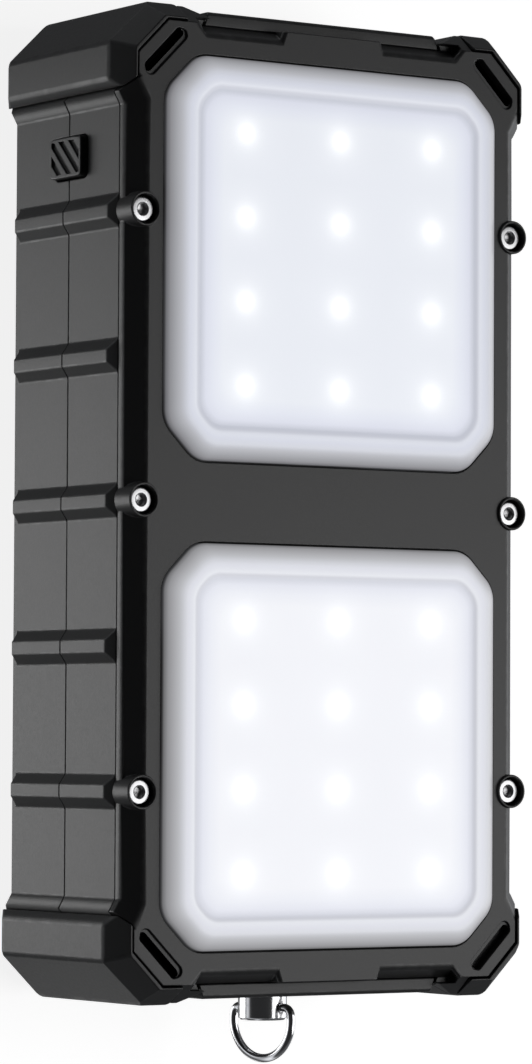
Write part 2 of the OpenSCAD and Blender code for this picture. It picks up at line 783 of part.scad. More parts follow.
module solar_backing() {
    color([0.9, 0.9, 0.88]) slab(cover_sheet + cell_sheet, panel_t)
        polygon(soft_box(panel_hx, panel_hy, 3));
}

module solar_leads() {
    color("crimson") for (s = [-1, 1]) translate([s * 4, board_y0 + 8, panel_t])
        cylinder(h = board_z - panel_t, r = 0.6);
}

// Hinged cover over the three sockets, with a shallow plug for each
module port_cover() {
    y0 = recess_y + 0.1;
    low = hinge_z - hinge_r;
    color([0.14, 0.14, 0.145]) difference() {
        union() {
            block([-cover_hx, cover_hx], [y0, end_y], [hinge_z, cover_top]);
            translate([-cover_hx, hinge_y, hinge_z]) rotate([0, 90, 0]) cylinder(h = 2 * cover_hx, r = hinge_r);
            block([-usb_a[0] / 2 + gap, usb_a[0] / 2 - gap], [y0 - 0.5, y0 + 0.5],
                [board_top + gap, board_top + usb_a[2] - gap]);
            for (s = [-1, 1]) translate([s * socket_pitch, 0, board_top + usb_c[2] / 2])
                stadium(usb_c[0] - 2 * gap, usb_c[2] - 2 * gap, y0 - 0.5, y0 + 0.5);
        }
        translate([-cover_hx - 1, hinge_y, hinge_z]) rotate([0, 90, 0])
            cylinder(h = 2 * cover_hx + 2, r = pin_r + running);
        for (i = [0 : 3]) block([-9, 9], [end_y - 0.35, end_y + 1],
            [low + 6 + i * 2.2, low + 7 + i * 2.2]);
    }
}

module port_cover_pin() {
    color([0.8, 0.8, 0.82]) translate([1.2 - end_rib_half, hinge_y, hinge_z]) rotate([0, 90, 0])
        cylinder(h = 2 * end_rib_half - 2.4, r = pin_r);
}

// A turned part along the length at the ring end, from y0 out to y1
module turned(y0, y1, r) {
    translate([0, -y0, seam_z]) rotate([90, 0, 0]) cylinder(h = y1 - y0, r = r);
}

module post_bushing() {
    color([0.8, 0.65, 0.3]) difference() {
        union() {
            turned(end_in, end_y, sleeve_r);
            turned(end_in - 0.8, end_in, sleeve_r + 1.2);
        }
        turned(end_in - 2, end_y + 1, neck_r + running);
    }
}

module swivel_post() {
    clip_y = end_in - 1;
    color([0.85, 0.85, 0.87]) difference() {
        union() {
            turned(post_y0, post_y1 - 0.3, post_d / 2);
            turned(post_y1 - 0.3, post_y1, post_d / 2 - 0.3);
            turned(clip_y - 1.4, post_y0, neck_r);
        }
        difference() {
            turned(clip_y - 0.7, clip_y, neck_r + 1);
            turned(clip_y - 1, clip_y + 1, neck_r - 0.6);
        }
        translate([0, -eye_y, seam_z]) rotate([0, ring_turn, 0])
            translate([0, 0, -post_d]) cylinder(h = 2 * post_d, d = wire_d + 2 * running);
    }
}

// Open spring clip in the groove at the inner end of the post
module post_clip() {
    clip_y = end_in - 1;
    color([0.6, 0.6, 0.62]) difference() {
        turned(clip_y - 0.65, clip_y - 0.05, neck_r + 1.4);
        turned(clip_y - 2, clip_y + 1, neck_r - 0.55);
        block([-1.2, 1.2], [-clip_y - 1, -clip_y + 3], [seam_z, seam_z + 6]);
    }
}

// Middle of the wire from a leg's inner end to the foot of the ring, each point with its direction
ring_half = concat(
    [[2, 0, 0]],
    [for (i = [0 : 5]) let (a = -90 + i * (90 - bend_a) / 6)
        [bend_x + bend_r * cos(a), bend_r + bend_r * sin(a), a + 90]],
    [for (i = [0 : 12]) let (a = -bend_a + i * (90 + bend_a) / 12)
        [ring_r * cos(a), ring_drop + ring_r * sin(a), a + 90]]
);
ring_path = concat(
    ring_half,
    [for (i = [len(ring_half) - 2 : -1 : 0]) let (p = ring_half[i]) [-p[0], p[1], 360 - p[2]]]
);

// Wire ring, made by carrying a round profile along its path, with its ends in the post's cross hole
module hang_ring() {
    sides = 16;
    last = (len(ring_path) - 1) * sides;
    points = [for (p = ring_path, k = [0 : sides - 1]) let (r = wire_d / 2, a = 360 * k / sides)
        [p[0] - r * cos(a) * sin(p[2]), -p[1] - r * cos(a) * cos(p[2]), r * sin(a)]];
    skin = [for (i = [0 : len(ring_path) - 2], k = [0 : sides - 1])
        let (a = i * sides + k, b = i * sides + (k + 1) % sides) [a, b, b + sides, a + sides]];
    color([0.85, 0.85, 0.87]) translate([0, -eye_y, seam_z]) rotate([0, ring_turn, 0]) rotate([0, -90, 0])
        polyhedron(points, concat(
            [[for (k = [0 : sides - 1]) sides - 1 - k]], skin, [[for (k = [0 : sides - 1]) last + k]]
        ));
}

front_bezel();
front_shell();
back_shell();
corner_guard_at(0);  // corner_guard_1
corner_guard_at(1);  // corner_guard_2
corner_guard_at(2);  // corner_guard_3
corner_guard_at(3);  // corner_guard_4
lamp_lens(1);  // lamp_lens_1
lamp_lens(-1);  // lamp_lens_2
lens_gaskets();
reflector(1);  // reflector_1
reflector(-1);  // reflector_2
led_board(1);  // led_board_1
led_board(-1);  // led_board_2
led_chips(1);  // led_chips_1
led_chips(-1);  // led_chips_2
lamp_flex();
lamp_leads();
case_screws();
threaded_inserts();
power_button();
button_switch();
main_board();
board_screws();
board_chips();
usb_a_socket();
usb_c_socket(1);  // usb_c_socket_1
usb_c_socket(-1);  // usb_c_socket_2
light_guide();
indicator_leds();
battery_cell(0);  // battery_cell_1
battery_cell(1);  // battery_cell_2
cell_pads();
battery_tabs();
solar_cover();
solar_cells();
solar_backing();
solar_leads();
port_cover();
port_cover_pin();
post_bushing();
swivel_post();
post_clip();
hang_ring();
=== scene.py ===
import bmesh
import bpy
import numpy as np
from mathutils import Matrix, Vector


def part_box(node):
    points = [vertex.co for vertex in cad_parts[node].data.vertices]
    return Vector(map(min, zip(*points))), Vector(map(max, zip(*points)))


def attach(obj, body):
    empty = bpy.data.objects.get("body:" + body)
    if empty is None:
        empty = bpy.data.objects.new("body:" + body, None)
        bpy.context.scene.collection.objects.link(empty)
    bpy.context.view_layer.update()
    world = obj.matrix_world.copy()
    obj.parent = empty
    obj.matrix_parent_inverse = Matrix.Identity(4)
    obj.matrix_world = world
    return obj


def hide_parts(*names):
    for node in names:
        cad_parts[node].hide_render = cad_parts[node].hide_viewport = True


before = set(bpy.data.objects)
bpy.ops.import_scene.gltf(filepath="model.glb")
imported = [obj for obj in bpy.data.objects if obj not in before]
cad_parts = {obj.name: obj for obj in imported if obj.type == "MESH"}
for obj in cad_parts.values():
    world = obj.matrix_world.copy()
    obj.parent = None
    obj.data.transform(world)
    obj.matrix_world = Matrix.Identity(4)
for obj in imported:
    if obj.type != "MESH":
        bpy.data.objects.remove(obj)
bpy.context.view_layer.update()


# --- Studio -------------------------------------------------------------------------------
# A pale table and backdrop that only the camera sees, so that the object is lit as if it hung
# between large diffusers: under its left side, over its right side, and low round the ends.

class Field:
    """A shader socket that takes Python arithmetic: every operation adds one Math node."""

    def __init__(self, tree, socket):
        self.tree, self.socket = tree, socket

    def node(self, kind, settings=None, **inputs):
        """Adds any node. Settings are set first, then its sockets get values or links."""
        made = self.tree.nodes.new("ShaderNode" + kind)
        for name, value in (settings or {}).items():
            if name == "stops":
                ramp = made.color_ramp
                while len(ramp.elements) < len(value):
                    ramp.elements.new(1.0)
                for stop, (at, colour) in zip(ramp.elements, value):
                    stop.position, stop.color = at, (*colour, 1)
            else:
                setattr(made, name, value)
        for name, value in inputs.items():
            key = int(name[1:]) if name[1:].isdigit() else name.replace("_", " ")
            if isinstance(value, Field):
                self.tree.links.new(value.socket, made.inputs[key])
            else:
                made.inputs[key].default_value = value
        return made

    def out(self, kind, output=0, settings=None, **inputs):
        """The output of a new node, wrapped."""
        return Field(self.tree, self.node(kind, settings, **inputs).outputs[output])

    def maths(self, operation, *values):
        """A Math node on values or fields, in the order of its sockets."""
        named = {f"i{k}": value for k, value in enumerate(values)}
        return self.out("Math", 0, {"operation": operation}, **named)

    def __add__(self, other): return self.maths("ADD", self, other)
    def __radd__(self, other): return self.maths("ADD", other, self)
    def __sub__(self, other): return self.maths("SUBTRACT", self, other)
    def __rsub__(self, other): return self.maths("SUBTRACT", other, self)
    def __mul__(self, other): return self.maths("MULTIPLY", self, other)
    def __rmul__(self, other): return self.maths("MULTIPLY", other, self)
    def __truediv__(self, other): return self.maths("DIVIDE", self, other)
    def __rtruediv__(self, other): return self.maths("DIVIDE", other, self)
    def clamp(self): return self.maths("MINIMUM", self.maths("MAXIMUM", self, 0.0), 1.0)

    def step(self, low, high):
        """Rises smoothly from 0 at low to 1 at high."""
        return self.out("MapRange", 0, {"interpolation_type": "SMOOTHSTEP"},
                        Value=self, From_Min=low, From_Max=high)

    def noise(self, size, detail=2.0, rough=0.5):
        """Noise between 0 and 1 whose grains are about size metres across."""
        return self.out("TexNoise", 0, None, Vector=self, Scale=0.6 / size,
                        Detail=detail, Roughness=rough)

    def mix(self, first, second):
        """Colour between two colours or fields, by this mask."""
        return self.out("Mix", 2, {"data_type": "RGBA"},
                        i0=self, i6=colour4(first), i7=colour4(second))


def colour4(colour):
    """A field as it is, or a colour with its alpha."""
    return colour if isinstance(colour, Field) else (*colour, 1.0)


def apart(place):
    """The three coordinates of a place, in metres."""
    split = place.node("SeparateXYZ", None, Vector=place)
    return [Field(place.tree, socket) for socket in split.outputs]


def pale_table(half=3.0, height=-0.0002, tone=0.42, glow=0.86):
    """A flat square, far larger than the object, just below the object's lowest point."""
    mesh = bpy.data.meshes.new("table")
    mesh.from_pydata([(-half, -half, height), (half, -half, height),
                      (half, half, height), (-half, half, height)], [], [(0, 1, 2, 3)])
    table = bpy.data.objects.new("table", mesh)
    bpy.context.scene.collection.objects.link(table)
    table.visible_diffuse = table.visible_glossy = table.visible_shadow = False
    look = bpy.data.materials.new("pale_table")
    look.use_nodes = True
    tree = look.node_tree
    tree.nodes.clear()
    below = Field(tree, tree.nodes.new("ShaderNodeNewGeometry").outputs["Backfacing"])
    diffuse = below.out("BsdfDiffuse", Color=(tone, tone, tone, 1))
    lit = below.out("AddShader", i0=diffuse, i1=below.out("Emission", Strength=glow))
    clear = below.out("BsdfTransparent")
    below.node("OutputMaterial", Surface=below.out("MixShader", i0=below, i1=lit, i2=clear))
    mesh.materials.append(look)


def diffuser(name, place, size, radiance, aim=(0, 0, 0.02)):
    """A soft rectangular lamp, unseen itself, that shines with one radiance all over its face."""
    lamp = bpy.data.lights.new(name, "AREA")
    lamp.shape = "RECTANGLE"
    lamp.size, lamp.size_y = size
    lamp.energy = radiance * np.pi * size[0] * size[1]
    holder = bpy.data.objects.new(name, lamp)
    holder.location = place
    holder.rotation_euler = (Vector(aim) - Vector(place)).to_track_quat("-Z", "Y").to_euler()
    holder.visible_camera = False
    bpy.context.scene.collection.objects.link(holder)


def room(backdrop=0.88, walls=1.3, fill=0.095, least=0.026, dark_side=(-0.559, -0.044, 0.828)):
    """A dim room with pale walls, behind a backdrop that only the camera sees.

    The fill is least towards the dark side and grows away from it. The walls show in a band
    below the horizon. They wax and wane round it as between windows, and blinds darken them
    towards both ends of the right side."""
    world = bpy.data.worlds.new("room")
    world.use_nodes = True
    tree = world.node_tree
    tree.nodes.clear()
    toward = Field(tree, tree.nodes.new("ShaderNodeTexCoord").outputs["Generated"])
    x, y, z = apart(toward)
    band = z.step(-0.55, -0.34) * (1.0 - z.step(-0.28, -0.06))
    windows = toward.noise(0.375, 0.0).step(0.38, 0.62) * 0.5 + 0.5
    blinds = x.step(0.10, 0.35) * y.maths("ABSOLUTE", y).step(0.40, 0.62)
    facing = toward.out("VectorMath", 1, {"operation": "DOT_PRODUCT"}, i0=toward, i1=dark_side)
    light = (band * windows * (1.0 - blinds * 0.9) * walls
             + (1.0 - facing.step(0.0, 0.7)) * fill + least)
    dim = toward.out("Background", Color=(0.95, 0.97, 1.0, 1), Strength=light)
    pale = toward.out("Background", Color=(1, 1, 1, 1), Strength=backdrop)
    seen = toward.out("MixShader", i0=toward.out("LightPath"), i1=dim, i2=pale)
    toward.node("OutputWorld", Surface=seen)
    bpy.context.scene.world = world
    bpy.context.scene.view_settings.view_transform = "Standard"


pale_table()
room()
diffuser("under_left", (-0.44, -0.04, -0.62), (0.35, 0.58), 2.75)
diffuser("over_right", (0.58, -0.19, 0.80), (0.75, 0.75), 2.3)
diffuser("low_right", (0.95, -0.10, 0.12), (0.6, 0.5), 1.4)
diffuser("low_front", (0.10, -0.62, -0.80), (0.4, 0.3), 0.8)
diffuser("low_back", (-0.20, 0.95, -0.30), (0.5, 0.35), 0.35)

camera = bpy.data.objects.new("camera", bpy.data.cameras.new("camera"))
across, upwards, backwards = ((0.828728, 0.005089, 0.559629), (-0.028841, 0.999018, 0.033626),
                              (-0.558908, -0.044007, 0.828061))
camera.matrix_world = (Matrix.Translation((-0.44119, -0.03821, 0.67351))
                       @ Matrix((across, upwards, backwards)).transposed().to_4x4())
camera.data.lens = 160.14
camera.data.sensor_width = 36.0
camera.data.clip_start = 0.02
bpy.context.scene.collection.objects.link(camera)
bpy.context.scene.camera = camera


# --- Bezel and the two case shells ---------------------------------------------------------
# Three moulded parts in a dark, glass filled plastic with a fine spark eroded grain. The
# shells meet at a seam round the middle of the sides, and six screws pull them together.

def finish_of(name):
    """An empty material: its place field, in metres, and a call that wires the result."""
    look = bpy.data.materials.new(name)
    look.use_nodes = True
    tree = look.node_tree
    tree.nodes.clear()
    place = Field(tree, tree.nodes.new("ShaderNodeTexCoord").outputs["Object"])

    def wire(bump, height, **sockets):
        """Raises the bump field by a height in metres, sets constants on the shader's own
        sockets, and links what varies."""
        normal = place.out("Bump", 0, None, Strength=1.0, Distance=height, Height=bump)
        shader = place.out("BsdfPrincipled", 0, None, Normal=normal, **sockets)
        place.node("OutputMaterial", None, Surface=shader)
        return look

    return place, wire


def wear_and_highlight(place):
    """Mask of edge wear and a painted edge highlight: how far a point lies on a rounded edge, from
    the mesh's attribute, broken up by noise.
    """
    edge = place.out("Attribute", 2, {"attribute_name": "edge"})
    return edge * place.noise(0.0018, 3.0).step(0.42, 0.62)


def moulded_plastic(name, base, rough, grain=0.00026):
    """Grained plastic: two layers of grain, slow drifts of tone and gloss, and rounded edges paled
    by rubbing and by a painted highlight.
    """
    place, wire = finish_of(name)
    fine, coarse = place.noise(grain, 3.0, 0.6), place.noise(0.0011, 2.0)
    drift = place.noise(0.03, 2.0)
    rub_and_highlight = wear_and_highlight(place)
    light, dark = tuple(c * 1.04 for c in base), tuple(c * 0.96 for c in base)
    pale = tuple(c * 2.2 + 0.004 for c in base)
    grained = (drift * 0.3 + fine * 0.7).step(0.25, 0.75).mix(dark, light)
    # The rounded edges go halfway to pale: rubbed wear together with a painted highlight along
    # each edge.
    colour = (rub_and_highlight * 0.5).mix(grained, pale)
    gloss = (drift - 0.5) * 0.012 + (fine - 0.5) * 0.14 - rub_and_highlight * 0.05 + rough
    return wire(fine * 0.92 + coarse * 0.08, 0.000012, Base_Color=colour, Roughness=gloss.clamp(),
                Specular_IOR_Level=0.5)


# Corners nearer than this are one, and the angles join level faces, pick edges and part creases.
MERGE = 3e-5
LEVEL, SHARP, CREASE = np.radians((0.7, 25.0, 35.0))


def softened(node, name, rounds):
    """A copy of a CAD node with rounded edges, and a face attribute that is 1 on the roundings.

    Each round is a width in metres, a number of segments and a test that picks its edges, by
    their middles. Nearly level faces are joined first."""
    bm = bmesh.new()
    bm.from_mesh(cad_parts[node].data)
    bmesh.ops.remove_doubles(bm, verts=bm.verts, dist=MERGE)
    bmesh.ops.dissolve_limit(bm, angle_limit=LEVEL, verts=bm.verts, edges=bm.edges)
    layer = bm.faces.layers.float.new("edge")
    for width, segments, pick in rounds:
        sharp = [e for e in bm.edges if e.is_manifold and e.calc_face_angle(0.0) > SHARP
                 and (pick is None or pick((e.verts[0].co + e.verts[1].co) / 2))]
        strips = bmesh.ops.bevel(bm, geom=sharp, offset=width, segments=segments, profile=0.5,
                                 affect="EDGES", clamp_overlap=False, loop_slide=True)
        for face in strips["faces"]:
            face[layer] = 1.0
    for face in bm.faces:
        face.smooth = True
    mesh = bpy.data.meshes.new(name)
    bm.to_mesh(mesh)
    bm.free()
    piece = bpy.data.objects.new(name, mesh)
    bpy.context.scene.collection.objects.link(piece)
    mesh.set_sharp_from_angle(angle=CREASE)
    even = piece.modifiers.new("even_shading", "WEIGHTED_NORMAL")
    even.keep_sharp = True
    return piece


def stand_for(piece, look, node, body):
    """The piece wears a look, replaces a CAD node and rides on a body."""
    piece.data.materials.append(look)
    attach(piece, body)
    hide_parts(node)


bezel_look = moulded_plastic("bezel_grain", (0.014, 0.014, 0.0145), 0.42)
shell_look = moulded_plastic("shell_grain", (0.015, 0.015, 0.0153), 0.44)


# Where the front edges, the rims at the guards, the border, the bosses and the pockets lie.
FRONT = 0.0389
GUARD_RIM = 0.0648, 0.0662
BORDER_X, BORDER_END, BORDER_FOOT = (0.0358, 0.0389), 0.0630, 0.0360
BOSS_X, BOSS_ROWS, BOSS_REACH = 0.0366, (-0.0465, 0, 0.0465), 0.0034
POCKET_X, POCKET_Y = (0.0097, 0.0263), (0.0755, 0.0772)


def slanted_border(middle):
    """Picks the edges of the slanted border up to the guards, but not those round the bosses."""
    x, y = abs(middle.x), abs(middle.y)
    along = y < BORDER_END or (y < GUARD_RIM[1] and middle.z > FRONT)
    clear = all(np.hypot(x - BOSS_X, middle.y - row) > BOSS_REACH for row in BOSS_ROWS)
    return BORDER_X[0] < x < BORDER_X[1] and middle.z > BORDER_FOOT and along and clear


def pocket_brow(middle):
    """Picks the front edges of the four sloped pockets in the ends."""
    x, y = abs(middle.x), abs(middle.y)
    return POCKET_X[0] < x < POCKET_X[1] and POCKET_Y[0] < y < POCKET_Y[1] and middle.z > FRONT


def away_from_guards(middle):
    """Leaves the rims that the corner guards lie against sharp."""
    return not GUARD_RIM[0] < abs(middle.y) < GUARD_RIM[1]


bezel_rounds = [(0.0008, 4, pocket_brow), (0.0006, 3, slanted_border), (0.00018, 2, None)]
shell_rounds = [(0.00025, 2, away_from_guards)]
for node, name, rounds, look, finish in (
        ("front_bezel", "bezel", bezel_rounds, bezel_look, "bezel_plastic"),
        ("front_shell", "shell_front", shell_rounds, shell_look, "case_plastic"),
        ("back_shell", "shell_back", shell_rounds, shell_look, "case_plastic")):
    stand_for(softened(node, name, rounds), look, node, "case")


# --- Corner guards -------------------------------------------------------------------------
# Four soft moulded rubber corners, a little duller than the case, with generous outer edges.
# Two tongues inside each guard snap into grooves in the shells and hold it without glue.

case_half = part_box("front_shell")[1]
OUTER_X, OUTER_Y = case_half.x - 0.0004, case_half.y - 0.0010


def outer_edge(middle):
    """Picks the edges of a guard that lie about or outside the outline of the case."""
    return abs(middle.x) > OUTER_X or abs(middle.y) > OUTER_Y


guard_look = moulded_plastic("guard_rubber_grain", (0.0095, 0.0095, 0.0098), 0.46, 0.0003)
guard_rounds = [(0.0006, 3, outer_edge), (0.00014, 2, None)]
for k in range(1, 5):
    guard = softened(f"corner_guard_{k}", f"guard_{k}", guard_rounds)
    stand_for(guard, guard_look, f"corner_guard_{k}", "case")


# --- Lamp lenses ---------------------------------------------------------------------------
# Two milky diffusers in moulded polycarbonate, put in from below and held by a flange.
# Lit from behind: brightest over each of the twelve lamp chips, greyer down the sloped wall.

lens_box = {1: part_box("lamp_lens_1"), 2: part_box("lamp_lens_2")}
chip_box = {1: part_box("led_chips_1"), 2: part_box("led_chips_2")}
CHIP = 0.0035, 0.0028
FLANGE = 0.0008
CORNER_RADIUS, CORNER_CUT = 0.005, 0.006
MIDDLE_INSET = 0.022


def rounded_line(points, radii, steps=5):
    """A polyline whose inner corners are replaced by arcs: quadratic curves that start and end a
    radius away from the corner, and bend towards it."""
    points = np.array(points, float)
    line = [points[:1]]
    for before, corner, after, radius in zip(points, points[1:], points[2:], radii):
        inwards = (before - corner) / np.linalg.norm(before - corner)
        outwards = (after - corner) / np.linalg.norm(after - corner)
        t = np.linspace(0, 1, steps)[:, None]
        start, end = corner + inwards * radius, corner + outwards * radius
        line.append((1 - t) ** 2 * start + 2 * t * (1 - t) * corner + t ** 2 * end)
    return np.vstack([*line, points[-1:]])


def soft_octagon(half_x, half_y, cut, radius, steps=9):
    """Rectangle with slanted corners and an arc at each end of each slant, anticlockwise.

    Rows are outlines, one for each entry of the arguments."""
    half_x, half_y, cut, radius = (np.atleast_1d(v)[:, None]
                                   for v in (half_x, half_y, cut, radius))
    reach = radius * np.tan(np.pi / 8)
    a = np.linspace(0, np.pi / 4, steps)[None, :]
    first = np.stack([half_x - radius + radius * np.cos(a),
                      half_y - cut - reach + radius * np.sin(a)], -1)
    b = a + np.pi / 4
    second = np.stack([half_x - cut - reach + radius * np.cos(b),
                       half_y - radius + radius * np.sin(b)], -1)
    quarter = np.concatenate([first, second], 1)
    back = quarter[:, ::-1]
    return np.concatenate([quarter, back * (-1, 1), -quarter, back * (1, -1)], 1)


def outward(piece):
    """Turns a closed piece's faces so that they all point outwards."""
    bm = bmesh.new()
    bm.from_mesh(piece.data)
    bmesh.ops.recalc_face_normals(bm, faces=bm.faces)
    bm.to_mesh(piece.data)
    bm.free()


def skin(name, sheets, values=None, sharp=None):
    """One mesh through sheets, each a set of rings of points (rings x around x 3) that is closed
    by a point at the middle of each end. Values, one for each ring, become the attribute inset."""
    points, faces, spread, start = [], [], [], 0
    for rings in sheets:
        count, around = rings.shape[:2]
        i, k = np.meshgrid(np.arange(count - 1), np.arange(around), indexing="ij")
        here, beside = start + i * around + k, start + i * around + (k + 1) % around
        quads = np.stack([here, beside, beside + around, here + around], -1)
        faces += quads.reshape(-1, 4).tolist()
        first, last = start + count * around, start + count * around + 1
        k = start + np.arange(around)
        turn = start + (np.arange(around) + 1) % around
        faces += np.stack([turn, k, np.full(around, first)], -1).tolist()
        k, turn = k + (count - 1) * around, turn + (count - 1) * around
        faces += np.stack([k, turn, np.full(around, last)], -1).tolist()
        points += [rings.reshape(-1, 3), rings[0].mean(0)[None], rings[-1].mean(0)[None]]
        if values is not None:
            spread += [np.repeat(np.asarray(values, float), around), [values[0], values[-1]]]
        start = last + 1
    mesh = bpy.data.meshes.new(name)
    mesh.from_pydata(np.vstack(points).tolist(), [], faces)
    if values is not None:
        layer = mesh.attributes.new("inset", "FLOAT", "POINT")
        layer.data.foreach_set("value", np.concatenate(spread).astype(np.float32))
    mesh.polygons.foreach_set("use_smooth", np.ones(len(mesh.polygons), bool))
    piece = bpy.data.objects.new(name, mesh)
    bpy.context.scene.collection.objects.link(piece)
    outward(piece)
    if sharp:
        mesh.set_sharp_from_angle(angle=np.radians(sharp))
    return piece


def lens(k):
    """Rings of the lens outline, grown by the first number of each profile point, and drawn in
    where that is negative, at the height given by the second: panel, step, ledge, two slopes,
    wall, flange, and back under the panel."""
    low, high = lens_box[k]
    half_x, half_y = (high.x - low.x) / 2 - FLANGE, (high.y - low.y) / 2 - FLANGE
    top, foot = high.z, low.z
    deep = foot - top
    corners = [(-0.0120, -0.0003), (-0.0080, -0.0003), (-0.0055, -0.0003), (-0.0046, 0),
               (-0.0027, 0), (-0.00108, -0.00085), (0, -0.0020), (0, deep + 0.001),
               (FLANGE, deep + 0.001), (FLANGE, deep), (-0.0015, deep), (-0.0015, -0.0028),
               (-0.0033, -0.0018), (-0.0080, -0.0018), (-0.0120, -0.0018)]
    radii = [0.0005, 0.0003, 0.0004, 0.0006, 0.0009, 0.0006, *[0.0001] * 4, 0.0004, 0.0004, 0.0005]
    profile = rounded_line(corners, radii)
    grow = profile[:, 0]
    radius = CORNER_RADIUS + np.where(grow > 0, grow, 0.2 * grow)
    cut = np.maximum(CORNER_CUT + 0.6 * grow, (2 - np.sqrt(2)) * radius)
    outline = soft_octagon(half_x + grow, half_y + grow, cut, radius)
    height = np.broadcast_to(profile[:, None, 1:], (*outline.shape[:2], 1))
    rings = np.concatenate([outline, height], -1)
    middle = rings[[0, -1]] * (0.35, 0.35, 1)
    rings = np.concatenate([middle[:1], rings, middle[1:]])
    inset = np.concatenate([[MIDDLE_INSET], -grow, [MIDDLE_INSET]])
    return skin(f"lens_{k}", [rings + (0, (low.y + high.y) / 2, top)], inset)


SPOT_MM = 1.55


def lit_milky(k, depth, glow):
    """Colour of the glow by how far in a point lies, which turns to white over each chip, with
    painted shade on the step down to the panel.

    The spot mask is one over one plus a power of the distance, in spot widths, to the nearest
    of three by four chips. Distances are in millimetres, and insets in centimetres."""
    place, wire = finish_of(f"lit_milky_{k}")
    low, high = chip_box[k]
    pitch = (high.x - low.x - CHIP[0]) / 2, (high.y - low.y - CHIP[1]) / 3
    x, y = apart(place)[:2]
    x, y = x / pitch[0], (y - (low.y + high.y) / 2) / pitch[1] + 1.5
    near_x = x.maths("MAXIMUM", x.maths("MINIMUM", x.maths("ROUND", x), 1.0), -1.0)
    near_y = y.maths("MAXIMUM", y.maths("MINIMUM", y.maths("ROUND", y), 3.0), 0.0)
    across, along = (x - near_x) * (pitch[0] * 1000), (y - near_y) * (pitch[1] * 1000)
    square = across * across + along * along
    away = square.maths("SQRT", square) / SPOT_MM
    inset = place.out("Attribute", 2, {"attribute_name": "inset"}) * 100.0
    spot = inset.step(0.45, 0.75) / (1.0 + away.maths("POWER", away, 2.5))
    # The stops paint shade on the step down to the panel, as a dip in the glow.
    rim = place.out("ValToRGB", 0, {"stops": list(zip(depth, glow))}, Fac=inset)
    haze = place.noise(0.009, 2.0).step(0.35, 0.65) * 0.03
    glowing = spot.mix(haze.mix(rim, (0.55, 0.57, 0.62)), (1.12, 1.14, 1.16))
    fine = place.noise(0.0004, 2.0)
    return wire(fine, 0.000006, Base_Color=(0.16, 0.16, 0.17, 1),
                Roughness=0.34 + (fine - 0.5) * 0.08, Emission_Color=glowing,
                Emission_Strength=1.0, Specular_IOR_Level=0.5)


# How far in the stops of the glow lie, in centimetres, and what each lamp shines there; the dip at
# 0.505 and 0.56 is painted shade on the step down to the panel.
DEPTH = 0.0, 0.012, 0.05, 0.11, 0.19, 0.27, 0.36, 0.46, 0.505, 0.56, 0.66, 0.80, 1.0
for k, glow in (
        (1, [(0.01, 0.01, 0.01), (0.14, 0.14, 0.15), (0.24, 0.24, 0.255), (0.32, 0.325, 0.345),
             (0.42, 0.425, 0.455), (0.53, 0.545, 0.60), (0.565, 0.585, 0.665),
             (0.63, 0.65, 0.715), (0.51, 0.525, 0.59), (0.465, 0.485, 0.555),
             (0.61, 0.63, 0.72), (0.66, 0.685, 0.765), (0.71, 0.735, 0.79)]),
        (2, [(0.01, 0.01, 0.01), (0.15, 0.15, 0.155), (0.26, 0.26, 0.27), (0.34, 0.34, 0.355),
             (0.44, 0.445, 0.465), (0.57, 0.58, 0.62), (0.61, 0.62, 0.68),
             (0.67, 0.685, 0.73), (0.535, 0.545, 0.595), (0.54, 0.555, 0.62),
             (0.66, 0.675, 0.745), (0.72, 0.735, 0.79), (0.77, 0.78, 0.82)])):
    stand_for(lens(k), lit_milky(k, DEPTH, glow), f"lamp_lens_{k}", "case")


# --- Inside each lamp ----------------------------------------------------------------------
# A foam seal over the lens flange, a white tray with a window for each chip, and a white
# coated board with twelve phosphor chips. A ribbon joins the boards; two wires feed them.

def dress(look, *nodes):
    """CAD nodes that stay as they are wear one look."""
    for node in nodes:
        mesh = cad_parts[node].data
        mesh.materials.clear()
        mesh.materials.append(look)


def closed_foam(name):
    """Black foam: round cells pit the surface, painted darker in each pit as shade, and dust
    varies the gloss.
    """
    place, wire = finish_of(name)
    cell = place.out("TexVoronoi", 0, None, Vector=place, Scale=2600.0)
    dust = place.noise(0.0006)
    # Each cell is darker in its middle than at its walls: painted shade in the pits.
    colour = cell.step(0.1, 0.7).mix((0.014, 0.014, 0.015), (0.032, 0.032, 0.033))
    return wire(cell, 0.00008, Base_Color=colour, Roughness=0.84 + (dust - 0.5) * 0.2)


def white_moulding(name):
    """Glossy white plastic with faint flow clouds and an even, very fine grain."""
    place, wire = finish_of(name)
    cloud, fine = place.noise(0.012), place.noise(0.0005, 3.0)
    colour = (cloud * 0.6 + fine * 0.4).step(0.3, 0.7).mix((0.76, 0.77, 0.76), (0.86, 0.86, 0.85))
    return wire(fine, 0.000012, Base_Color=colour, Roughness=0.3 + (fine - 0.5) * 0.2)


def coated_board(name, mask, track, pitch):
    """Solder mask over copper: raised tracks that turn square corners, and tinned holes.

    Tracks are the joints of a staggered brick pattern; holes are small discs at scattered
    points."""
    place, wire = finish_of(name)
    bricks = place.node("TexBrick", {"offset": 0.37, "squash": 1.6, "squash_frequency": 3},
                        Vector=place, Scale=1.0, Mortar_Size=pitch * 0.1,
                        Brick_Width=pitch * 2.3, Row_Height=pitch)
    line = Field(place.tree, bricks.outputs["Fac"])
    point = place.out("TexVoronoi", 0, None, Vector=place, Scale=0.45 / pitch, Randomness=0.7)
    hole = 1.0 - point.step(0.10, 0.13)
    weave = place.noise(0.0004)
    colour = (line * 0.8 + weave * 0.2).mix(mask, track)
    colour = hole.mix(colour, (0.75, 0.73, 0.68))
    return wire(line * 0.5 + hole * 0.5 + weave * 0.1, 0.00004, Base_Color=colour, Metallic=hole,
                Roughness=0.36 + (weave - 0.5) * 0.15 - hole * 0.1)


